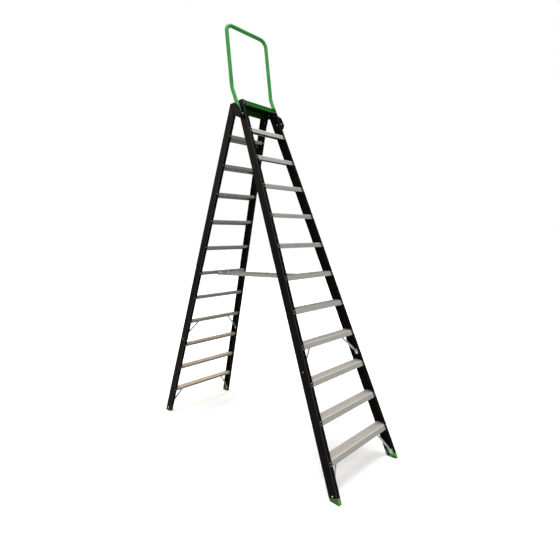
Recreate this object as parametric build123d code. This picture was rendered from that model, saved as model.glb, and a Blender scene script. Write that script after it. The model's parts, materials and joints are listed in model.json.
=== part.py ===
from build123d import *
import os
from math import cos, radians, sin, tan

# A double-sided stepladder: two flights of treads hinged together at the top, with a platform,
# a handrail and folding spreaders. Millimetres, +Z up, origin on the floor midway between the
# flights. The near flight is climbed from -Y and the far flight from +Y.
#
# Each flight has its own frame: X across, D the depth behind the climbing face and S the length
# along the flight from the floor. Each stile has a frame leaning inward in its flight: U from the
# flange edge out to the web, D as before and L the length along the stile.

# Flights
tilt = 20.0  # lean of each flight from the vertical, degrees
stile_lean = 3.4  # inward lean of each stile in its flight, degrees
floor_half_width = 359.0  # middle of a flight to the flange edges, at the floor
rise = 250.0  # height from tread to tread
first_tread = 259.0  # height of the lowest tread
tread_count = 11  # treads below the platform, on each flight
platform_lift = 13.0  # platform above one more rise
top_half_depth = 88.47  # middle to each climbing face, at the platform
fold_gap = 36.0  # between the backs of the flights when folded

# Stiles
stile_depth = 81.0
stile_width = 30.0
stile_wall = 2.5
stile_corner = 4.0  # outer corner radius
stile_head = 4.0  # stile above the platform

# Treads
tread_wall = 2.4
fascia_height = 40.0
fascia_wall = 2.2
lip_height = 28.0
tread_end_gap = 0.3  # tread end to the rounding inside the web
rib_pitch = 8.0
rib_width = 4.0
rib_height = 1.2
rear_rivet_share = 0.4  # how far down the lip its rivet sits

# Rivets
rivet_shank = 4.8
rivet_head = 9.6
rivet_head_height = 2.2
rivet_tail = 7.0
rivet_tail_height = 2.4
rivet_clearance = 0.1  # radial

# Platform
platform_fascia = 47.0
platform_skirt = 55.0
platform_wall = 3.0
platform_side_gap = 2.5  # waist to the flange edges
platform_notch_gap = 0.5  # front part to the rear flange
platform_rear_gap = 1.0  # rear skirt to the front flange of the far flight
platform_end_gap = 3.0  # rear part to the webs of the far flight
platform_waist_end = 1.0  # rear part starts here, behind the flanges of the near flight
platform_under_gap = 3.0  # platform to the notched heads of the far flight
head_notch_gap = 1.0  # ends of the rear part to the sides of those notches
groove_count = 4
groove_width = 3.0
groove_depth = 1.2

# Feet
foot_height = 44.0  # along the front of the stile
plug_height = 29.0
plug_wall = 7.0
plug_inset = 3.0  # plug to the flange edges
plug_clearance = 0.15
foot_recess = 14.0  # the plug's hollow goes this far down into the foot
pocket_size = 12.5
pocket_pitch = 16.0
pocket_depth = 12.0
pocket_edge = 3.5
pocket_least = 5.0  # height of the lowest pocket made

# Braces
brace_depth = 43.0
brace_tread = 4  # tread held by the upper braces, counted from the floor
lower_angle = 30.0  # strut to stile, degrees
upper_angle = 39.0
strut_width = 15.0
strut_depth = 8.0
strut_wall = 2.5
strut_rise = 15.0  # middle of a strut above its rivet, at the tab
strut_end_gap = 3.0  # strut to the rivet
tab_width = 28.0
tab_length = 42.0
tab_wall = 4.0
lower_tab_share = 0.6  # rivet height on the lower tabs
upper_tab_share = 0.35
foot_rivet_rise = 14.0  # lower brace rivet above the foot
upper_rivet_drop = 203.0  # upper brace rivet below its tread

# Spreaders
spreader_tread = 6  # tread that carries the spreaders, counted from the floor
spreader_drop = 28.0  # pivots below that tread
spreader_offset = 92.0  # middle of the ladder to between the two bars of a side
bar_width = 24.0
bar_wall = 6.0
bar_round = 2.0
side_gap = 0.4  # between plates of different pieces
lug_wall = 4.0
lug_base_wall = 3.0
lug_width = 44.0
lug_height = 34.0
lug_gap = 1.0  # lug base below the top of the tread
lug_rivet_drop = 9.5  # below the top of the lug base
lug_rivet_pitch = 20.0
pin_size = 8.0
pin_head = 14.0
pin_head_height = 3.0
pin_clearance = 0.05  # radial running fit

# Hinge
ear_radius = 20.0
arm_wall = 6.0
arm_web_gap = 2.6  # arm ear to the line of the webs
arm_length = 84.0
arm_front = 22.0
arm_rear_edge = 5.0
arm_neck = 25.0  # ear joins the arm down to here, below the pivot
arm_screw_depth = 45.0
arm_screw_drops = (25.0, 62.0)  # below the pivot
block_ear_wall = 16.0
block_front = ((4.0, 140.0), (13.0, 60.0), (35.0, 22.0))  # depth, and drop below the pivot
block_crown = ((61.0, -2.0), (86.0, -2.0))
block_foot = ((80.0, 113.0), (30.0, 170.0))
block_cheek = 12.0  # outside the rail
block_clear_depth = 74.0  # block kept outside the arm behind this
block_corner = 9.0
groove_edge = 0.5  # rail groove narrower than its bore, each side
saddle_depth = 15.0  # front of the saddle that clamps the rail
saddle_drop = 107.0
screw_size = 8.0
screw_flats = 13.0
screw_head_height = 5.3
screw_length = 20.0
arm_screw_length = 6.0
screw_clearance = 0.1
screw_end_gap = 0.5
upper_screw = (44.0, 31.0)  # depth, and drop below the pivot
lower_screw = (40.0, 130.0)
clamp_screw_drop = 129.0
bolt_size = 12.0
bolt_flats = 19.0
bolt_head_height = 7.5
nut_height = 10.0
bolt_clearance = 0.05  # radial running fit in the arm

# Handrail
rail_size = 34.0
rail_wall = 2.0
rail_stand_off = 22.0  # axis beyond the web, at the lower screw
rail_clearance = 0.1
rail_depth = 40.0  # depth of the leg, at rail_drop below the pivot
rail_drop = 103.0
rail_end_drop = 137.0
rail_leg_tilt = 22.3
rail_upper_tilt = 5.0
rail_bend_height = 120.0  # above the platform
rail_height = 689.0  # axis of the top bar above the platform
rail_bend_radius = 150.0
rail_corner_radius = 65.0

# Lines and angles that follow
sin_t = sin(radians(tilt))
cos_t = cos(radians(tilt))
tan_t = tan(radians(tilt))
tan_lean = tan(radians(stile_lean))
cos_lean = cos(radians(stile_lean))
platform_height = first_tread + rise * tread_count + platform_lift
half_spread = top_half_depth + platform_height * tan_t
pivot_depth = stile_depth + fold_gap / 2
pivot_s = (half_spread - pivot_depth * cos_t) / sin_t
web_face = stile_width - stile_wall
inner_corner = stile_corner - stile_wall
reach = 4 * platform_height  # longer than the ladder, for trimming blocks

flight = Plane(origin=(0, -half_spread, 0), x_dir=(1, 0, 0), z_dir=(0, sin_t, cos_t)).location
stile_frame = flight * Location((floor_half_width, 0, 0), (0, -stile_lean, 0))
turned = Rot(0, 0, 180)
UP = (Align.CENTER, Align.CENTER, Align.MIN)
DOWN = (Align.CENTER, Align.CENTER, Align.MAX)
INTO = (-90, 0, 0)  # turns a fastener to point along +D
OUT = (90, 0, 0)  # turns it to point along -D
INWARD = (0, -90, 0)  # turns it to point from the right-hand web to the middle
OUTWARD = (0, 90, 0)

nodes = {}


def along(height, depth):
    """The length S of a point at a height and a depth in a flight."""
    return (height + depth * sin_t) / cos_t


def across(offset, s):
    """The X of a line an offset out from the right-hand flange edge, at S."""
    return floor_half_width + offset / cos_lean - s * tan_lean


def tread_height(index):
    """The height of a tread, counted from 1 at the floor."""
    return first_tread + rise * (index - 1)


def between_stiles(offset):
    """A block between two planes that lean with the stiles, in the flight frame."""
    low = across(offset, -rise)
    high = across(offset, platform_height + 2 * rise)
    top = platform_height + 2 * rise
    face = make_face(Polyline((-low, -rise), (low, -rise), (high, top), (-high, top), close=True))
    return extrude(Plane.XZ * face, amount=rise * 2, both=True)


def above(height):
    """A block above a level, in the ladder's frame."""
    return Pos(0, 0, height) * Box(reach, reach, reach, align=UP)


def left_of(right):
    """The left-hand mirror image of a right-hand piece."""
    return mirror(right, about=Plane.YZ)


def group(pieces):
    """Several separate solids as one node."""
    return Compound([solid for piece in pieces for solid in piece.solids()])


def hole(size, depth):
    """A cutter for a hole that starts a little before Z = 0."""
    return Pos(0, 0, -depth) * Cylinder(size / 2, 2 * depth, align=UP)


def rivet(grip):
    """A rivet whose head sits on Z = 0 and that grips plates above it."""
    head = Pos(0, 0, -rivet_head_height) * Cylinder(rivet_head / 2, rivet_head_height, align=UP)
    head = fillet(head.edges().group_by(Axis.Z)[0], rivet_head_height * 0.8)
    shank = Cylinder(rivet_shank / 2, grip, align=UP)
    tail = Pos(0, 0, grip) * Cylinder(rivet_tail / 2, rivet_tail_height, align=UP)
    return head + shank + tail


def rivet_hole(grip):
    """A cutter for the hole of a rivet."""
    return hole(rivet_shank + 2 * rivet_clearance, grip + rivet_tail_height)


def hex_screw(size, flats, head_height, length):
    """A hexagon screw whose head sits on Z = 0 and whose shank runs up."""
    head = extrude(RegularPolygon(flats / 2, 6, major_radius=False), amount=-head_height)
    return head + Cylinder(size / 2, length, align=UP)


def front_rivets(height, fascia):
    """Where the right-hand rivets of a fascia go through the front flange."""
    middle = along(height, stile_wall) - fascia / 2
    rows = [middle - fascia / 4, middle + fascia / 4]
    return [Location((across(stile_width / 2, s), 0, s), INTO) for s in rows]


def rear_rivets(height):
    """Where the right-hand rivet of a lip goes through the rear flange."""
    s = along(height, stile_depth - stile_wall) - lip_height * rear_rivet_share
    return [Location((across(stile_width / 2, s), stile_depth, s), OUT)]


def mirrored_spots(spots):
    """Right-hand fastener places with the left-hand ones added."""
    left = [Location((-p.position.X, p.position.Y, p.position.Z), p.orientation) for p in spots]
    return spots + left


def side_plate(face, inner, outer):
    """A face in depth and length as a right-hand plate between two X."""
    return Pos(inner, 0, 0) * extrude(Plane.YZ * face, amount=outer - inner)


def step_outline(depth, fascia, skirt, wall, front_wall, skirt_tilt, grooves):
    """The side outline of a tread or the platform, its front top corner at the origin.

    The outline lies level. Its fascia leans with the flight, and its rear skirt by skirt_tilt.
    """
    ribs = int((depth - 2 * front_wall - rib_width) / rib_pitch)
    first_rib = (depth - (ribs - 1) * rib_pitch - rib_width) / 2
    points = [(-fascia * sin_t, -fascia * cos_t)]
    for index in range(grooves):
        middle = fascia * (1 - (index + 1) / (grooves + 1))
        low = middle + groove_width / 2
        high = middle - groove_width / 2
        for drop, inset in ((low, 0), (low, groove_depth), (high, groove_depth), (high, 0)):
            points.append((inset * cos_t - drop * sin_t, -inset * sin_t - drop * cos_t))
    points.append((0, 0))
    for index in range(ribs):
        start = first_rib + index * rib_pitch
        end = start + rib_width
        points += [(start, 0), (start, rib_height), (end, rib_height), (end, 0)]
    sin_k = sin(radians(skirt_tilt))
    cos_k = cos(radians(skirt_tilt))
    points.append((depth, 0))
    points.append((depth - skirt * sin_k, -skirt * cos_k))
    points.append((depth - skirt * sin_k - front_wall * cos_k, -skirt * cos_k + front_wall * sin_k))
    rear_drop = (wall + front_wall * sin_k) / cos_k
    points.append((depth - front_wall * cos_k - rear_drop * sin_k, -wall))
    front_drop = (wall - front_wall * sin_t) / cos_t
    points.append((front_wall * cos_t - front_drop * sin_t, -wall))
    points.append((front_wall * cos_t - fascia * sin_t, -front_wall * sin_t - fascia * cos_t))
    return make_face(Polyline(*points, close=True))


def laid_across(outline, height):
    """A level outline as a long extrusion in the flight frame, its corner behind the flange."""
    corner = Pos(stile_wall, along(height, stile_wall), 0) * Rot(0, 0, tilt)
    return extrude(Plane.YZ * (corner * outline), amount=2 * floor_half_width, both=True)


# Treads

between_webs = between_stiles(web_face - inner_corner - tread_end_gap)
tread_depth = (stile_depth - 2 * stile_wall) / cos_t
tread_outline = step_outline(
    tread_depth, fascia_height, lip_height, tread_wall, fascia_wall, tilt, 0
)
front_grip = stile_wall + fascia_wall
plain_rivets = []
stile_cuts = []
steps = []
for index in range(1, tread_count + 1):
    height = tread_height(index)
    right_spots = front_rivets(height, fascia_height) + rear_rivets(height)
    step = laid_across(tread_outline, height) & between_webs
    step -= [spot * rivet_hole(front_grip) for spot in mirrored_spots(right_spots)]
    steps.append(step)
    plain_rivets += [spot * rivet(front_grip) for spot in mirrored_spots(right_spots)]
    stile_cuts += [spot * rivet_hole(front_grip) for spot in right_spots]

# Platform

platform_reach = top_half_depth - stile_wall / cos_t
platform_outline = step_outline(
    2 * platform_reach - platform_rear_gap,
    platform_fascia,
    platform_skirt,
    platform_wall,
    platform_wall,
    0,
    groove_count,
)
platform_spots = front_rivets(platform_height, platform_fascia)
platform_grip = stile_wall + platform_wall
stile_top = platform_height + stile_head
waist_half_width = across(0, along(stile_top, stile_depth)) - platform_side_gap
rear_half_width = across(web_face, along(stile_top, 0)) - platform_end_gap
front_limit = stile_depth - stile_wall - platform_notch_gap
behind_flange = (Align.CENTER, Align.MIN, Align.CENTER)
front_room = between_webs - Pos(0, front_limit, 0) * Box(reach, reach, reach, align=behind_flange)
waist_room = Box(2 * waist_half_width, reach, reach)
rear_room = Pos(0, platform_waist_end, platform_height) * Box(
    2 * rear_half_width, reach, reach, align=behind_flange
)
long_platform = laid_across(platform_outline, platform_height)
platform = flight * ((long_platform & front_room) + (long_platform & waist_room))
platform += flight * long_platform & rear_room
platform -= [flight * spot * rivet_hole(platform_grip) for spot in mirrored_spots(platform_spots)]
nodes["platform"] = platform
platform_rivets = [spot * rivet(platform_grip) for spot in mirrored_spots(platform_spots)]

# Spreader lugs on the lips of a tread, with the pivots at the middle of the folded gap

spreader_height = tread_height(spreader_tread) - spreader_drop
lug_s = along(spreader_height, pivot_depth)
lip_face = stile_depth - stile_wall
lug_top = along(tread_height(spreader_tread), lip_face) - lug_gap
near_bar = spreader_offset + side_gap / 2
near_ear = near_bar + bar_wall + side_gap
far_bar = spreader_offset - side_gap / 2 - bar_wall
far_ear = far_bar - side_gap - lug_wall
far_edge = far_ear + lug_wall - lug_width
lug_grip = lug_base_wall + fascia_wall


def lug_rivet_spots(edge):
    """Where the rivets of a lug go, with its base from an X outward, in the flight frame."""
    middle = edge + lug_width / 2
    s = lug_top - lug_rivet_drop
    return mirrored_spots(
        [
            Location((x, lip_face + lug_base_wall, s), OUT)
            for x in (middle - lug_rivet_pitch / 2, middle + lug_rivet_pitch / 2)
        ]
    )


def lug(ear, edge):
    """A right-hand bracket with its ear from an X and its base from another X, in the flight frame."""
    corner = (Align.MIN, Align.MIN, Align.MAX)
    base = Pos(edge, lip_face, lug_top) * Box(lug_width, lug_base_wall, lug_height, align=corner)
    root = Pos(lip_face + lug_base_wall / 2, lug_top - lug_height / 2)
    root_face = root * Rectangle(lug_base_wall, lug_height)
    eye = Pos(pivot_depth, lug_s) * Circle(bar_width / 2)
    plate = side_plate(make_hull(root_face.edges() + eye.edges()), ear, ear + lug_wall)
    bore = Location((ear, pivot_depth, lug_s), OUTWARD) * hole(pin_size, 2 * lug_wall)
    return base + plate - bore - [spot * rivet_hole(lug_grip) for spot in lug_rivet_spots(edge)]


near_lug_spots = lug_rivet_spots(near_ear)
far_lug_spots = lug_rivet_spots(far_edge)
for index, step in enumerate(steps, start=1):
    near_step = step
    far_step = step
    if index == spreader_tread:
        near_step = step - [spot * rivet_hole(lug_grip) for spot in near_lug_spots]
        far_step = step - [spot * rivet_hole(lug_grip) for spot in far_lug_spots]
    nodes[f"near_step_{index:02d}"] = flight * near_step
    nodes[f"far_step_{index:02d}"] = turned * flight * far_step


def pin(head_at, end_at):
    """A headed pin along X between two places, about the local X axis."""
    turn = OUTWARD if end_at > head_at else INWARD
    head = Pos(0, 0, -pin_head_height) * Cylinder(pin_head / 2, pin_head_height, align=UP)
    head = fillet(head.edges().group_by(Axis.Z)[0], pin_head_height * 0.5)
    shank = Cylinder(pin_size / 2, abs(end_at - head_at), align=UP)
    return Location((head_at, 0, 0), turn) * (head + shank)


near_lug = flight * lug(near_ear, near_ear)
far_lug = turned * flight * lug(far_ear, far_edge)
bar_length = -(flight * Pos(0, pivot_depth, lug_s)).position.Y
near_pivot = Pos(0, -bar_length, spreader_height)
far_pivot = Pos(0, bar_length, spreader_height)
near_pin = near_pivot * pin(near_ear + lug_wall, near_bar)
far_pin = far_pivot * pin(far_ear, far_bar + bar_wall)
middle_pin = Pos(0, 0, spreader_height) * pin(near_bar + bar_wall, near_bar)


def bar(inner_face, pivot, middle_size):
    """A right-hand spreader bar from a pivot to the middle, in the ladder's frame."""
    end = pivot.position.Y
    face = Pos(end / 2, spreader_height) * SlotCenterToCenter(abs(end), bar_width)
    body = side_plate(face, inner_face, inner_face + bar_wall)
    body = fillet(body.faces().filter_by(Axis.X).edges(), bar_round)
    for y, size in ((end, pin_size + 2 * pin_clearance), (0, middle_size)):
        body -= Location((inner_face, y, spreader_height), OUTWARD) * hole(size, 2 * bar_wall)
    return body


bars = {
    "near_right_spreader_bar": bar(near_bar, near_pivot, pin_size),
    "far_right_spreader_bar": bar(far_bar, far_pivot, pin_size + 2 * pin_clearance),
}
for name, piece in bars.items():
    nodes[name] = piece
    nodes[name.replace("right", "left")] = left_of(piece)
nodes["right_spreader_hinge_pin"] = middle_pin
nodes["left_spreader_hinge_pin"] = left_of(middle_pin)
nodes["near_spreader_lugs"] = group([near_lug, left_of(near_lug)])
nodes["far_spreader_lugs"] = group([far_lug, left_of(far_lug)])
nodes["near_spreader_pins"] = group([near_pin, left_of(near_pin)])
nodes["far_spreader_pins"] = group([far_pin, left_of(far_pin)])

# Feet and stiles

stile_profile = Rectangle(stile_width, stile_depth, align=(Align.MIN, Align.MIN))
stile_profile = fillet(stile_profile.vertices().group_by(Axis.X)[-1], stile_corner)
inner_profile = Pos(0, stile_wall) * Rectangle(
    web_face, stile_depth - 2 * stile_wall, align=(Align.MIN, Align.MIN)
)
inner_profile = fillet(inner_profile.vertices().group_by(Axis.X)[-1], inner_corner)
stile_length = along(stile_top, stile_depth) / cos_lean + stile_depth
lower_rivet_l = foot_height + foot_rivet_rise
upper_rivet_l = along(tread_height(brace_tread), brace_depth) - upper_rivet_drop
lower_seat = web_face - plug_clearance - plug_wall
lower_grip = stile_width - lower_seat + tab_wall
upper_grip = stile_wall + tab_wall
brace_spots = [
    (Location((stile_width, brace_depth, lower_rivet_l), INWARD), lower_grip),
    (Location((stile_width, brace_depth, upper_rivet_l), INWARD), upper_grip),
]
web_cuts = [spot * rivet_hole(grip) for spot, grip in brace_spots]


def pockets(face, depth, low, high):
    """Pockets of one column, one above the other, in the face at U = face."""
    count = max(round((high - low) / pocket_pitch), 1)
    pitch = (high - low + pocket_pitch - pocket_size) / count
    height = pitch - pocket_pitch + pocket_size
    if height < pocket_least:
        return []
    pocket = Box(2 * pocket_depth, pocket_size, height, align=UP)
    return [Pos(face, depth, low + row * pitch) * pocket for row in range(count)]


def foot():
    """A right-hand foot, level underneath, with a plug inside the stile."""
    block = Pos(0, 0, -foot_height) * extrude(stile_profile, amount=2 * foot_height)
    plug_depth = stile_depth - 2 * (stile_wall + plug_clearance)
    corner = (Align.MAX, Align.CENTER, Align.MIN)
    plug = Pos(web_face - plug_clearance, stile_depth / 2, foot_height) * Box(
        web_face - plug_clearance - plug_inset, plug_depth, plug_height, align=corner
    )
    plug = fillet(plug.edges().filter_by(Axis.Z).group_by(Axis.X)[-1], inner_corner)
    hollow_floor = foot_height - foot_recess
    hollow = Pos(lower_seat, stile_depth / 2, hollow_floor) * Box(
        stile_width, plug_depth - 2 * plug_wall, foot_recess + plug_height, align=corner
    )
    block = block + plug - hollow
    for column in range(int((stile_depth - 2 * pocket_edge) / pocket_pitch)):
        depth = pocket_edge + pocket_size / 2 + column * pocket_pitch
        low = (depth + pocket_size / 2) * tan_t + pocket_edge
        block -= pockets(0, depth, low, hollow_floor - pocket_edge)
        block -= pockets(stile_width, depth, low, foot_height - pocket_edge)
    block -= web_cuts[0]
    return stile_frame * block - Rot(180, 0, 0) * above(0)


bare_stile = Pos(0, 0, foot_height) * extrude(stile_profile - inner_profile, amount=stile_length)
bare_stile = stile_frame * (bare_stile - web_cuts) - above(stile_top)
bare_stile -= [flight * cut for cut in stile_cuts]
right_foot = foot()
left_foot = left_of(right_foot)
nodes["near_right_foot"] = right_foot
nodes["near_left_foot"] = left_foot

# Braces


def height_of(point):
    """The height of a point of the right-hand stile frame."""
    return (stile_frame * Location(point)).position.Z


def brace(seat, rivet_l, share, angle, tread):
    """A right-hand brace: a tab at U = seat and a channel strut up to the underside of a tread."""
    low = rivet_l - tab_length * share
    body = Pos(seat, brace_depth, low) * Box(
        tab_wall, tab_width, tab_length, align=(Align.MAX, Align.CENTER, Align.MIN)
    )
    body = fillet(body.edges().filter_by(Axis.X), tab_width * 0.3)
    start = Vector(seat - tab_wall, brace_depth, rivet_l + strut_rise)
    run = Vector(-sin(radians(angle)), 0, cos(radians(angle)))
    underside = tread_height(tread) - tread_wall
    length = (underside - height_of(start)) / (height_of(start + run) - height_of(start))
    channel = Rectangle(strut_depth, strut_width)
    channel -= Pos(-strut_wall, 0) * Rectangle(strut_depth, strut_width - 2 * strut_wall)
    base = Plane(origin=start - run * length, x_dir=(0, 1, 0), z_dir=run)
    strut = base * extrude(channel, amount=3 * length)
    end = rivet_l + rivet_tail / 2 + strut_end_gap
    strut -= Pos(seat, brace_depth, end) * Box(4 * length, tab_width, 4 * length, align=DOWN)
    body += strut
    body -= Pos(seat, brace_depth, low) * Box(
        tab_width, 2 * tab_width, 4 * tab_length, align=(Align.MIN, Align.CENTER, Align.CENTER)
    )
    spot = Location((stile_width, brace_depth, rivet_l), INWARD)
    body -= spot * rivet_hole(stile_width - seat + tab_wall)
    return stile_frame * body - above(underside)


braces = {
    "lower_brace": brace(lower_seat, lower_rivet_l, lower_tab_share, lower_angle, 1),
    "upper_brace": brace(web_face, upper_rivet_l, upper_tab_share, upper_angle, brace_tread),
}
for name, piece in braces.items():
    nodes[f"near_right_{name}"] = piece
    nodes[f"near_left_{name}"] = left_of(piece)
    nodes[f"far_left_{name}"] = turned * piece
    nodes[f"far_right_{name}"] = turned * left_of(piece)
brace_rivets = [stile_frame * (spot * rivet(grip)) for spot, grip in brace_spots]
brace_rivets += [left_of(piece) for piece in brace_rivets]

# Hinge and handrail

web_at_pivot = across(stile_width, pivot_s)
arm_inner = web_at_pivot + arm_web_gap
arm_outer = arm_inner + arm_wall
ear_inner = arm_outer + side_gap
ear_outer = ear_inner + block_ear_wall
rail_x = across(stile_width, pivot_s - lower_screw[1]) + rail_stand_off
block_outer = rail_x + rail_size / 2 + block_cheek
outside_webs = between_stiles(stile_width)
pivot_axis = Location((0, pivot_depth, pivot_s), OUTWARD)
ear_disc = Pos(pivot_depth, pivot_s) * Circle(ear_radius)


def behind(depth, outer):
    """A block behind a depth and inside an X, in the flight frame."""
    corner = (Align.MAX, Align.MIN, Align.CENTER)
    return Pos(outer, depth, pivot_s) * Box(2 * outer, reach, reach, align=corner)


def in_front_of(depth, low):
    """A block as wide as the rail groove, in front of a depth and above an S, in the flight frame."""
    width = rail_size + 2 * (rail_clearance - groove_edge)
    corner = (Align.CENTER, Align.MAX, Align.MIN)
    return Pos(rail_x, depth, low) * Box(width, reach, 2 * reach, align=corner)


def web_screw_places(depth, drops):
    """Where screws go from inside the right-hand web outward, in the stile frame."""
    return [Location((web_face, depth, (pivot_s - drop) / cos_lean), OUTWARD) for drop in drops]


block_places = [web_screw_places(depth, [drop])[0] for depth, drop in (upper_screw, lower_screw)]
arm_places = web_screw_places(arm_screw_depth, arm_screw_drops)
clamp_place = Location((rail_x, saddle_depth, pivot_s - clamp_screw_drop), INTO)
screw_hole = hole(screw_size + 2 * screw_clearance, screw_length)
arm_screw_hole = hole(screw_size + 2 * screw_clearance, arm_screw_length + screw_end_gap)
block_screw = hex_screw(screw_size, screw_flats, screw_head_height, screw_length)
arm_screw = hex_screw(screw_size, screw_flats, screw_head_height, arm_screw_length)

leg = flight * Pos(rail_x, rail_depth, pivot_s - rail_drop)
leg_y = leg.position.Y
leg_z = leg.position.Z
end_z = (flight * Pos(0, rail_depth, pivot_s - rail_end_drop)).position.Z
bend_z = platform_height + rail_bend_height
bend_y = leg_y + (bend_z - leg_z) * tan(radians(rail_leg_tilt))
end_y = leg_y + (end_z - leg_z) * tan(radians(rail_leg_tilt))
top_z = platform_height + rail_height
top_y = bend_y + (top_z - bend_z) * tan(radians(rail_upper_tilt))
rail_points = [(rail_x, end_y, end_z), (rail_x, bend_y, bend_z), (rail_x, top_y, top_z)]
rail_points += [(-x, y, z) for x, y, z in reversed(rail_points)]
rail_radii = [rail_bend_radius, rail_corner_radius, rail_corner_radius, rail_bend_radius]
rail_path = FilletPolyline(*rail_points, radius=rail_radii)
rail_ring = Circle(rail_size / 2) - Circle(rail_size / 2 - rail_wall)
rail_start = Plane(origin=rail_path @ 0, z_dir=rail_path % 0)
rail_cuts = [stile_frame * place * screw_hole for place in block_places]
rail_cuts.append(flight * clamp_place * screw_hole)
handrail = sweep(rail_start * rail_ring, path=rail_path)
nodes["handrail"] = handrail - rail_cuts - [left_of(cut) for cut in rail_cuts]


def hinge_block():
    """The right-hand block that carries the rail and the near half of the hinge."""
    corners = block_front + block_crown + block_foot
    profile = [(depth, pivot_s - drop) for depth, drop in corners]
    outline = make_face(Polyline(*profile, close=True))
    outline = fillet(outline.vertices(), block_corner)
    body = side_plate(outline, 0, block_outer)
    body += side_plate(make_hull(outline.edges() + ear_disc.edges()), ear_inner, ear_outer)
    body -= outside_webs
    body -= behind(block_clear_depth, ear_inner)
    body -= pivot_axis * hole(bolt_size, block_outer)
    body -= clamp_place * screw_hole
    body -= in_front_of(saddle_depth, pivot_s - reach)
    body -= in_front_of(rail_depth, pivot_s - saddle_drop)
    body = flight * body
    body -= [stile_frame * place * screw_hole for place in block_places]
    return body - rail_start * Cylinder(rail_size / 2 + rail_clearance, rise, align=UP)


def hinge_arm():
    """The right-hand arm of the far half of the hinge, in the frame of the near flight."""
    rear = stile_depth - arm_rear_edge
    profile = [
        (arm_front, pivot_s - arm_length),
        (arm_front, pivot_s - ear_radius),
        (rear, pivot_s),
        (rear, pivot_s - arm_length),
    ]
    outline = make_face(Polyline(*profile, close=True))
    neck_ends = [(arm_front, pivot_s - ear_radius), (rear, pivot_s - arm_neck), (rear, pivot_s)]
    neck = make_face(Polyline(*neck_ends, close=True))
    body = side_plate(outline, 0, arm_outer)
    body += side_plate(make_hull(neck.edges() + ear_disc.edges()), 0, arm_outer)
    body -= outside_webs
    body -= behind(rear, arm_inner)
    body -= pivot_axis * hole(bolt_size + 2 * bolt_clearance, block_outer)
    return flight * body - [stile_frame * place * arm_screw_hole for place in arm_places]


def pivot_bolt():
    """The right-hand pivot bolt with its nut, in the flight frame."""
    nut_face = arm_inner - side_gap
    shank = ear_outer - nut_face + nut_height
    bolt = hex_screw(bolt_size, bolt_flats, bolt_head_height, shank)
    nut = extrude(RegularPolygon(bolt_flats / 2, 6, major_radius=False), amount=nut_height)
    bolt += Pos(0, 0, ear_outer - nut_face) * nut
    return Location((ear_outer, pivot_depth, pivot_s), INWARD) * bolt


right_block = hinge_block()
right_arm = hinge_arm()
right_bolt = flight * pivot_bolt()
block_screws = [stile_frame * place * block_screw for place in block_places]
block_screws.append(flight * clamp_place * block_screw)
arm_screws = [turned * stile_frame * place * arm_screw for place in arm_places]
nodes["right_hinge_block"] = right_block
nodes["left_hinge_block"] = left_of(right_block)
nodes["left_hinge_arm"] = turned * right_arm
nodes["right_hinge_arm"] = turned * left_of(right_arm)
nodes["hinge_pivot_bolts"] = group([right_bolt, left_of(right_bolt)])
nodes["hinge_block_screws"] = group(block_screws + [left_of(screw) for screw in block_screws])
nodes["hinge_arm_screws"] = group(arm_screws + [left_of(screw) for screw in arm_screws])

# Stiles of both flights, and the rest of the far flight

near_stile = bare_stile - [flight * spot * rivet_hole(platform_grip) for spot in platform_spots]
near_stile -= [stile_frame * place * screw_hole for place in block_places]
head_notch = above(platform_height - platform_wall - platform_under_gap) & Pos(0, 0, platform_height) * Box(
    2 * (rear_half_width + head_notch_gap), reach, reach
)
far_stile = bare_stile - head_notch
far_stile -= [stile_frame * place * arm_screw_hole for place in arm_places]
nodes["near_right_stile"] = near_stile
nodes["near_left_stile"] = left_of(near_stile)
nodes["far_left_stile"] = turned * far_stile
nodes["far_right_stile"] = turned * left_of(far_stile)
nodes["far_left_foot"] = turned * right_foot
nodes["far_right_foot"] = turned * left_foot
shared_rivets = [flight * piece for piece in plain_rivets] + brace_rivets
near_lug_rivets = [flight * spot * rivet(lug_grip) for spot in near_lug_spots]
far_lug_rivets = [flight * spot * rivet(lug_grip) for spot in far_lug_spots]
top_rivets = [flight * piece for piece in platform_rivets]
nodes["near_rivets"] = group(shared_rivets + near_lug_rivets + top_rivets)
nodes["far_rivets"] = group([turned * piece for piece in shared_rivets + far_lug_rivets])

os.makedirs("parts", exist_ok=True)
for name, shape in nodes.items():
    export_step(shape, f"parts/{name}.step")
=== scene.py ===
import json
import math
import bpy
from mathutils import Matrix, Vector

# Finishes, stage, light and camera for a double-sided stepladder. Metres, in the frame of the solids:
# +Z up, X across the flights and Y from the near flight to the far flight. Colours are linear.

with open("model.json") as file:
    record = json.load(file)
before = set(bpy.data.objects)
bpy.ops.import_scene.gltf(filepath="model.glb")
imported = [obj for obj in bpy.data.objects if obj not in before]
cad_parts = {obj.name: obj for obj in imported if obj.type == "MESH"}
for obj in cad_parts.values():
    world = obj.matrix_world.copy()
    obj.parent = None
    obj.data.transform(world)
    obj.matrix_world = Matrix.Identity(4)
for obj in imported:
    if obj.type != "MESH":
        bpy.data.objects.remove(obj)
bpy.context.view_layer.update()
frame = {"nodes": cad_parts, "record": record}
nodes = frame["nodes"]
scene = bpy.context.scene
scene.view_settings.view_transform = "Standard"

# The camera, fitted to the edges of the stiles and treads in the photograph
camera_place = Vector((-2.32646, -2.74029, 1.74098))
camera_yaw = math.radians(46.2875)
camera_pitch = math.radians(-2.2693)
camera_roll = math.radians(-1.8043)
focal_length = 383.10  # pixels
picture_width = 560
picture_height = 548
middle_x = 298.75  # where the view axis meets the picture, pixels
middle_y = 260.52
sensor_width = 36  # millimetres
far_clip = 100

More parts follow.
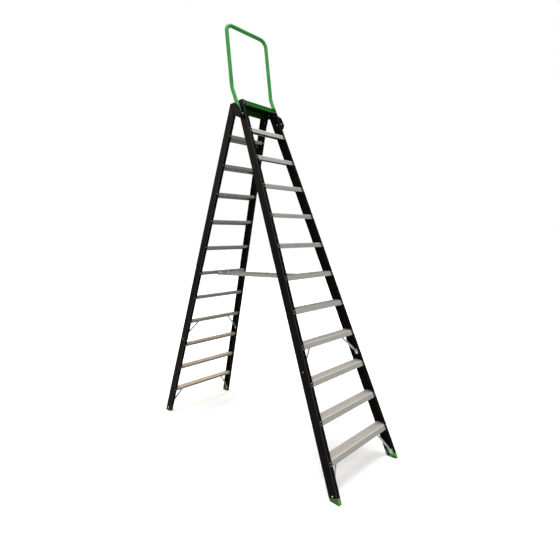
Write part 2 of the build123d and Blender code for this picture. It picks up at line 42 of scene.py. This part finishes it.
# Sizes of the ladder that the finishes follow
tread_rise = 0.25
first_tread = 0.259
half_spread = 1.188388  # middle of the ladder to a climbing face, at the floor
flight_tilt = math.radians(20)
tone_height = 3.0  # height tones run from the floor to here
tone_depth = 0.086  # depth tones run from the climbing face to here
platform_rim = (3.016, 3.017)  # the dark top edge of the platform fades in here
glint_height = 0.12  # rivets below this get a painted highlight

# Stage and light
floor_half = 30
floor_fade = (1.6, 5.0)  # the floor turns white between these distances from the middle
floor_glow = (0.25, 1.0)  # its glow at those distances
sky_colour = (0.95, 0.97, 1.0, 1)
sky_strength = 0.42
white = (1, 1, 1, 1)
warm_light = (1.0, 0.84, 0.64)


# Shader nodes

def new_material(name):
    material = bpy.data.materials.new(name)
    material.use_nodes = True
    tree = material.node_tree
    return material, tree, tree.nodes["Principled BSDF"]


def add(tree, kind, inputs=None, **settings):
    """Adds a node, sets its properties, and sets or links its inputs."""
    node = tree.nodes.new(kind)
    for key, value in settings.items():
        setattr(node, key, value)
    for key, value in (inputs or {}).items():
        if isinstance(value, bpy.types.NodeSocket):
            tree.links.new(value, node.inputs[key])
        else:
            node.inputs[key].default_value = value
    return node


def calculate(tree, operation, *values):
    return add(tree, "ShaderNodeMath", dict(enumerate(values)), operation=operation).outputs[0]


def spread(tree, scale=(1, 1, 1)):
    """Object coordinates, scaled to draw out a pattern."""
    coords = add(tree, "ShaderNodeTexCoord")
    mapping = add(tree, "ShaderNodeMapping", {"Vector": coords.outputs["Object"], "Scale": scale})
    return mapping.outputs["Vector"]


def part_of(tree, kind, axis):
    """One part of the place (Object) or the direction (Normal) of a surface."""
    coords = add(tree, "ShaderNodeTexCoord")
    return add(tree, "ShaderNodeSeparateXYZ", {"Vector": coords.outputs[kind]}).outputs[axis]


def levels(tree, factor, low, high, out_low=0, out_high=1):
    """A value that runs from one level to another while the factor runs from low to high."""
    node = add(tree, "ShaderNodeMapRange", {
        "Value": factor, "From Min": low, "From Max": high, "To Min": out_low, "To Max": out_high})
    return node.outputs["Result"]


def facing(tree, axis, low, high):
    """How far a face looks along an axis, from 0 to 1 between two levels."""
    return levels(tree, part_of(tree, "Normal", axis), low, high)


def sideways(tree, low, high):
    """How far a face looks to either side, from 0 to 1 between two levels."""
    return levels(tree, calculate(tree, "ABSOLUTE", part_of(tree, "Normal", "X")), low, high)


def noise(tree, where, scale, detail, roughness=0.55):
    node = add(tree, "ShaderNodeTexNoise", {
        "Vector": where, "Scale": scale, "Detail": detail, "Roughness": roughness})
    return node.outputs["Fac"]


def openness(tree, distance, own):
    """1 on open faces and less in hollows, of the piece alone or also between pieces."""
    node = add(tree, "ShaderNodeAmbientOcclusion", {"Distance": distance}, samples=8, only_local=own)
    return node.outputs["AO"]


def ramp(tree, factor, stops):
    """A colour ramp from (position, colour) pairs."""
    node = add(tree, "ShaderNodeValToRGB", {"Fac": factor})
    elements = node.color_ramp.elements
    while len(elements) < len(stops):
        elements.new(0.5)
    for element, (position, colour) in zip(elements, stops):
        element.position = position
        element.color = (*colour, 1)
    return node.outputs["Color"]


def tones(tree, factor, length, stops):
    """A grey that follows a factor, from (distance, grey) pairs along a length."""
    return ramp(tree, factor, [(distance / length, (grey, grey, grey)) for distance, grey in stops])


def mix(tree, factor, a, b):
    return add(tree, "ShaderNodeMix", {0: factor, 6: a, 7: b}, data_type="RGBA").outputs[2]


def shade(tree, colour, tone):
    """A colour times a tone."""
    inputs = {0: 1.0, 6: colour, 7: tone}
    return add(tree, "ShaderNodeMix", inputs, data_type="RGBA", blend_type="MULTIPLY").outputs[2]


def bump(tree, height, strength, distance):
    inputs = {"Height": height, "Strength": strength, "Distance": distance}
    return add(tree, "ShaderNodeBump", inputs).outputs["Normal"]


def dress(tree, shader, colour, rough, normal, shine=0.5, metal=0.0):
    """Links the patterns of a finish to its shader, and sets how much it shines and how metallic it is."""
    tree.links.new(colour, shader.inputs["Base Color"])
    tree.links.new(rough, shader.inputs["Roughness"])
    tree.links.new(normal, shader.inputs["Normal"])
    shader.inputs["Specular IOR Level"].default_value = shine
    shader.inputs["Metallic"].default_value = metal


# Finishes

def stile_black():
    """Black coated extrusion with fine lengthwise drawing lines, brown dust, painted lit webs and a painted
    bluish highlight on the rounded corners.
    """
    material, tree, shader = new_material("stile_black")
    lines = noise(tree, spread(tree, (60, 60, 3)), 6.0, 6.0)
    cloud = noise(tree, spread(tree), 5.0, 5.0)
    # Painted light: the sideways-facing webs get a lighter brown tone, and the flanges a darker painted
    # shade.
    shaded_flange = ramp(tree, cloud, [(0.3, (0.0015, 0.0015, 0.0015)), (0.7, (0.003, 0.0028, 0.0026))])
    lit_web = ramp(tree, cloud, [(0.3, (0.0036, 0.0029, 0.0023)), (0.7, (0.006, 0.005, 0.0039))])
    colour = mix(tree, sideways(tree, 0.93, 0.99), shaded_flange, lit_web)
    # Painted highlight: a bluish line along the rounded corners between web and flange.
    corner_highlight_and_shade = calculate(tree, "MULTIPLY", sideways(tree, 0.3, 0.6), sideways(tree, 0.97, 0.85))
    colour = mix(tree, corner_highlight_and_shade, colour, (0.045, 0.058, 0.07, 1))
    scuff = levels(tree, noise(tree, spread(tree, (1, 1, 0.3)), 38.0, 8.0, 0.7), 0.66, 0.8, 0, 0.3)
    colour = mix(tree, scuff, colour, (0.04, 0.036, 0.032, 1))
    rough = levels(tree, lines, 0.2, 0.8, 0.42, 0.58)
    dress(tree, shader, colour, rough, bump(tree, lines, 0.12, 0.0004), shine=0.014)
    return material


def top_layer(tree, thickness):
    """1 in the ribbed top layer of each tread and 0 below it."""
    base = first_tread - thickness
    node = add(tree, "ShaderNodeMapRange", {
        "Value": part_of(tree, "Object", "Z"), "From Min": base, "From Max": base + tread_rise}, clamp=False)
    return levels(tree, calculate(tree, "FRACT", node.outputs["Result"]), 0.04, 0.03)


def tread_aluminium(name, top, face, thickness, top_light_by_height, face_light_by_height):
    """Mill-finish extrusion with lines along the tread, lighter and darker bands on the top and painted
    shade near the stiles.

    The top and the face each have a low and a high colour, a lighter top and a darker face in painted light
    and shade. Their tones follow the height of the tread as a painted fall of light and shade.
    """
    material, tree, shader = new_material(name)
    lines = noise(tree, spread(tree, (1.5, 160, 160)), 5.0, 5.0)
    cloud = noise(tree, spread(tree, (1, 2, 2)), 9.0, 6.0, 0.6)
    height = levels(tree, part_of(tree, "Object", "Z"), 0, tone_height)
    away = calculate(tree, "ABSOLUTE", part_of(tree, "Object", "Y"))
    away = calculate(tree, "MULTIPLY_ADD", part_of(tree, "Object", "Z"), math.tan(flight_tilt), away)
    depth = levels(tree, away, half_spread, half_spread - tone_depth)
    # Lighter and darker bands across the depth of the top.
    bands = tones(tree, depth, tone_depth, [
        (0.0, 1.0), (0.009, 1.0), (0.013, 0.84), (0.03, 0.86), (0.038, 0.96),
        (0.043, 0.88), (0.055, 0.9), (0.062, 1.04), (0.074, 1.06), (0.08, 0.95)])
    # Painted light: the top is painted lighter than the face, and both tones change with height as painted
    # light and shade.
    top_colour = ramp(tree, lines, list(zip((0.25, 0.75), top)))
    top_colour = shade(tree, top_colour, tones(tree, height, tone_height, top_light_by_height))
    top_colour = shade(tree, top_colour, bands)
    face_colour = ramp(tree, lines, list(zip((0.25, 0.75), face)))
    face_colour = shade(tree, face_colour, tones(tree, height, tone_height, face_light_by_height))
    # The top layer reaches a little down the face, so its lighter colour paints a highlight along the front
    # edge.
    colour = mix(tree, top_layer(tree, thickness), face_colour, top_colour)
    dust = levels(tree, cloud, 0.45, 0.75, 0, 0.2)
    colour = mix(tree, dust, colour, (0.36, 0.34, 0.31, 1))
    # Painted shade: the tread darkens where other pieces close it in, mostly at its ends by the stiles.
    corner_highlight_and_shade = levels(tree, openness(tree, 0.09, own=False), 0.3, 0.66, 0.35, 1.0)
    colour = shade(tree, colour, corner_highlight_and_shade)
    rough = levels(tree, cloud, 0.3, 0.7, 0.5, 0.66)
    dress(tree, shader, colour, rough, bump(tree, lines, 0.15, 0.0004), shine=0.15, metal=0.2)
    return material


def platform_shade_and_dark_rim(tree, colour):
    """Painted shade on the rear skirt's inside and on the underside of the platform, and a dark line along
    its top edge.
    """
    edge = levels(tree, part_of(tree, "Object", "Z"), *platform_rim)
    edge = calculate(tree, "MULTIPLY", edge, facing(tree, "Z", 0.6, 0.3))
    inside = levels(tree, part_of(tree, "Object", "Y"), 0, 0.04)
    inside = calculate(tree, "MULTIPLY", inside, facing(tree, "Y", -0.3, -0.8))
    colour = mix(tree, edge, colour, (0.002, 0.006, 0.001, 1))
    # Painted shade: the rear skirt's inside and the underside go dark green to near black.
    colour = mix(tree, inside, colour, (0.015, 0.058, 0.006, 1))
    return mix(tree, facing(tree, "Z", -0.3, -0.9), colour, (0.001, 0.008, 0.0003, 1))


def green_paint(name, dark, light, rough, peel, shine, hollow, shut, own=True, shadows=None):
    """Green paint or moulding with soft mottling, a fine surface texture, pale scuffs and painted shade in
    hollows.

    The painted shade darkens hollows within a distance, between two levels of openness.
    """
    material, tree, shader = new_material(name)
    cloud = noise(tree, spread(tree), 14.0, 5.0)
    fine = noise(tree, spread(tree), peel, 3.0)
    colour = ramp(tree, cloud, [(0.3, dark), (0.7, light)])
    scuff = levels(tree, noise(tree, spread(tree), 55.0, 8.0, 0.7), 0.68, 0.82, 0, 0.3)
    colour = mix(tree, scuff, colour, (0.12, 0.22, 0.1, 1))
    # Painted shade: near black in hollows of the piece, and with own=False also between pieces.
    hollow_shade = levels(tree, openness(tree, hollow, own), *shut, 0.05, 1.0)
    colour = mix(tree, hollow_shade, (0.001, 0.004, 0.0005, 1), colour)
    if shadows:
        colour = shadows(tree, colour)
    roughness = levels(tree, cloud, 0.3, 0.7, rough - 0.06, rough + 0.08)
    dress(tree, shader, colour, roughness, bump(tree, fine, 0.12, 0.0005), shine)
    return material


def black_moulding(name, dark, light, rough):
    """Black textured moulding or coating."""
    material, tree, shader = new_material(name)
    grain = noise(tree, spread(tree), 900.0, 2.0)
    cloud = noise(tree, spread(tree), 22.0, 6.0)
    colour = ramp(tree, cloud, [(0.3, dark), (0.7, light)])
    roughness = levels(tree, cloud, 0.3, 0.7, rough - 0.06, rough + 0.08)
    dress(tree, shader, colour, roughness, bump(tree, grain, 0.12, 0.0003), shine=0.025)
    return material


def zinc_steel(name, low, high, stain, metal, glint_below=None):
    """Zinc plating with a faint spangle and dull patches, and a painted highlight below a height."""
    material, tree, shader = new_material(name)
    spangle = add(tree, "ShaderNodeTexVoronoi", {"Vector": spread(tree), "Scale": 260.0}).outputs["Color"]
    cloud = noise(tree, spread(tree), 45.0, 5.0)
    colour = ramp(tree, spangle, [(0.1, low), (0.9, high)])
    colour = mix(tree, levels(tree, cloud, 0.5, 0.75, 0, 0.5), colour, (*stain, 1))
    if glint_below:
        # Painted highlight: near white on the rivets close to the floor.
        glint = levels(tree, part_of(tree, "Object", "Z"), glint_below, glint_below - 0.01)
        colour = mix(tree, glint, colour, (0.85, 0.85, 0.84, 1))
    rough = levels(tree, cloud, 0.3, 0.7, 0.28, 0.45)
    dress(tree, shader, colour, rough, bump(tree, cloud, 0.1, 0.0004), metal=metal)
    return material


slot_finishes = {
    "stile_black": stile_black(),
    # Near treads: a lit top colour over a darker face colour, painted light and shade.
    "tread_aluminium": tread_aluminium(
        "tread_aluminium",
        top=((0.47, 0.435, 0.395), (0.6, 0.56, 0.51)),
        face=((0.22, 0.22, 0.203), (0.31, 0.31, 0.285)),
        thickness=0.0045,
        top_light_by_height=[(0.26, 0.94), (0.76, 0.9), (1.01, 0.82), (1.26, 0.56), (1.51, 0.44), (2.0, 0.9)],
        face_light_by_height=[(0.26, 1.1), (1.01, 1.12), (1.51, 0.95), (1.76, 0.8), (2.26, 0.8), (2.76, 1.1)],
    ),
    "platform_green": green_paint(
        "platform_green", (0.014, 0.09, 0.012), (0.02, 0.114, 0.018),
        rough=0.6, peel=420.0, shine=0.0, hollow=0.012, shut=(0.4, 0.9), shadows=platform_shade_and_dark_rim,
    ),
    "rail_green": green_paint(
        "rail_green", (0.022, 0.16, 0.03), (0.032, 0.215, 0.043),
        rough=0.4, peel=260.0, shine=0.1, hollow=0.02, shut=(0.5, 0.95), own=False,
    ),
    "foot_green": green_paint(
        "foot_green", (0.075, 0.2, 0.042), (0.1, 0.26, 0.055),
        rough=0.5, peel=600.0, shine=0.08, hollow=0.02, shut=(0.45, 0.9),
    ),
    "block_black": black_moulding("block_black", (0.002, 0.002, 0.0021), (0.004, 0.004, 0.0041), 0.55),
    "arm_black": black_moulding("arm_black", (0.003, 0.0029, 0.0028), (0.006, 0.0058, 0.0056), 0.55),
    "zinc_steel": zinc_steel("zinc_steel", (0.22, 0.23, 0.24), (0.34, 0.35, 0.36), (0.2, 0.19, 0.175), 0.5),
}
# Painted light: a lighter copy of the zinc for the near braces, while the far braces keep the darker
# zinc_steel.
lit_zinc = zinc_steel("lit_zinc", (0.44, 0.46, 0.49), (0.6, 0.62, 0.66), (0.36, 0.36, 0.37), 0.3)
bright_zinc = zinc_steel("bright_zinc", (0.2, 0.2, 0.21), (0.34, 0.34, 0.35), (0.16, 0.155, 0.15), 0.8)
dull_zinc = zinc_steel(
    "dull_zinc", (0.15, 0.145, 0.135), (0.28, 0.27, 0.255), (0.12, 0.11, 0.1), 0.6, glint_height)
bar_zinc = zinc_steel("bar_zinc", (0.17, 0.165, 0.15), (0.27, 0.26, 0.235), (0.14, 0.13, 0.11), 0.5)
dark_zinc = zinc_steel("dark_zinc", (0.02, 0.02, 0.02), (0.05, 0.05, 0.05), (0.015, 0.015, 0.015), 0.6)
# Painted warm light: the far treads get a copy of the tread finish with a tan lit top and a darker face,
# standing in for warm light from behind.
warm_lit_tread = tread_aluminium(
    "warm_lit_tread",
    top=((0.74, 0.59, 0.43), (0.9, 0.73, 0.56)),
    face=((0.12, 0.118, 0.11), (0.18, 0.178, 0.168)),
    thickness=0.002,
    top_light_by_height=[(0.26, 1.0), (0.51, 0.82), (0.76, 0.66), (1.01, 0.47), (1.26, 0.32), (2.0, 0.72)],
    face_light_by_height=[(0.26, 1.1), (0.76, 0.9), (1.26, 0.85), (2.0, 1.0), (2.76, 1.25)],
)


def finish_of(name, slot):
    """The finish of a piece: its slot's, or one of its own."""
    if name.startswith("far_step"):
        return warm_lit_tread
    if name.endswith("_spreader_bar"):
        return bar_zinc
    if name.startswith("near") and name.endswith("_brace"):
        return lit_zinc
    if name.endswith("_rivets"):
        return dull_zinc
    if name == "hinge_block_screws":
        return bright_zinc
    if name in ("hinge_arm_screws", "hinge_pivot_bolts"):
        return dark_zinc
    return slot_finishes[slot]


for part in frame["record"]["subparts"]:
    mesh = nodes[part["node"]].data
    mesh.materials.clear()
    mesh.materials.append(finish_of(part["node"], part["material_slot"]))


# Camera, stage and light

def add_camera():
    """Puts a camera at the photograph's place, angle and crop."""
    ahead = Vector((
        math.sin(camera_yaw) * math.cos(camera_pitch),
        math.cos(camera_yaw) * math.cos(camera_pitch),
        math.sin(camera_pitch),
    ))
    level = Vector((math.cos(camera_yaw), -math.sin(camera_yaw), 0))
    above = level.cross(ahead)
    right = math.cos(camera_roll) * level + math.sin(camera_roll) * above
    up = -math.sin(camera_roll) * level + math.cos(camera_roll) * above
    data = bpy.data.cameras.new("camera")
    data.sensor_fit = "HORIZONTAL"
    data.sensor_width = sensor_width
    data.lens = focal_length / picture_width * sensor_width
    data.shift_x = (picture_width / 2 - middle_x) / picture_width
    data.shift_y = (middle_y - picture_height / 2) / picture_width
    data.clip_end = far_clip
    camera = bpy.data.objects.new("camera", data)
    turn = Matrix((right, up, -ahead)).transposed().to_4x4()
    camera.matrix_world = Matrix.Translation(camera_place) @ turn
    scene.collection.objects.link(camera)
    scene.camera = camera


def seen_rays(tree):
    """1 where the camera looks, also in a mirror or through glass."""
    path = add(tree, "ShaderNodeLightPath").outputs
    seen = calculate(tree, "MAXIMUM", path["Is Camera Ray"], path["Is Glossy Ray"])
    return calculate(tree, "MAXIMUM", seen, path["Is Transmission Ray"])


def add_floor():
    """A pale floor that keeps the shadows near the ladder and turns white far away."""
    mesh = bpy.data.meshes.new("floor")
    corners = [(-1, -1), (1, -1), (1, 1), (-1, 1)]
    mesh.from_pydata([(x * floor_half, y * floor_half, 0) for x, y in corners], [], [(0, 1, 2, 3)])
    floor = bpy.data.objects.new("floor", mesh)
    scene.collection.objects.link(floor)
    material, tree, shader = new_material("floor_white")
    speck = noise(tree, spread(tree), 3.0, 3.0)
    pale = ramp(tree, speck, [(0.3, (0.84, 0.84, 0.84)), (0.7, (0.86, 0.86, 0.86))])
    tree.links.new(pale, shader.inputs["Base Color"])
    shader.inputs["Roughness"].default_value = 0.9
    shader.inputs["Specular IOR Level"].default_value = 0.1
    coords = add(tree, "ShaderNodeTexCoord").outputs["Object"]
    away = add(tree, "ShaderNodeVectorMath", {0: coords}, operation="LENGTH").outputs["Value"]
    glow = calculate(tree, "MULTIPLY", seen_rays(tree), levels(tree, away, *floor_fade, *floor_glow))
    shader.inputs["Emission Color"].default_value = white
    tree.links.new(glow, shader.inputs["Emission Strength"])
    mesh.materials.append(material)


def add_world():
    """A soft sky that looks white."""
    world = bpy.data.worlds.new("studio")
    scene.world = world
    world.use_nodes = True
    tree = world.node_tree
    tree.nodes.clear()
    light = add(tree, "ShaderNodeBackground", {"Color": sky_colour, "Strength": sky_strength})
    backdrop = add(tree, "ShaderNodeBackground", {"Color": white, "Strength": 1.0})
    sky = add(tree, "ShaderNodeMixShader", {
        0: seen_rays(tree), 1: light.outputs[0], 2: backdrop.outputs[0]})
    add(tree, "ShaderNodeOutputWorld", {"Surface": sky.outputs[0]})


def add_light(name, place, target, size, power, colour=(1, 1, 1)):
    """A round soft light that looks at a target."""
    data = bpy.data.lights.new(name, "AREA")
    data.shape = "DISK"
    data.size = size
    data.energy = power
    data.color = colour
    light = bpy.data.objects.new(name, data)
    light.location = place
    light.rotation_euler = (Vector(target) - Vector(place)).to_track_quat("-Z", "Y").to_euler()
    scene.collection.objects.link(light)


add_camera()
add_floor()
add_world()
add_light("overhead", (-0.6, -0.8, 7.5), (0, 0, 1.5), size=5.0, power=520)
add_light("front_left", (-4.5, -4.0, 4.5), (0, 0, 1.5), size=3.0, power=140)
add_light("back", (-1.5, 5.5, 4.5), (0, 0.7, 1.0), size=3.0, power=160, colour=warm_light)
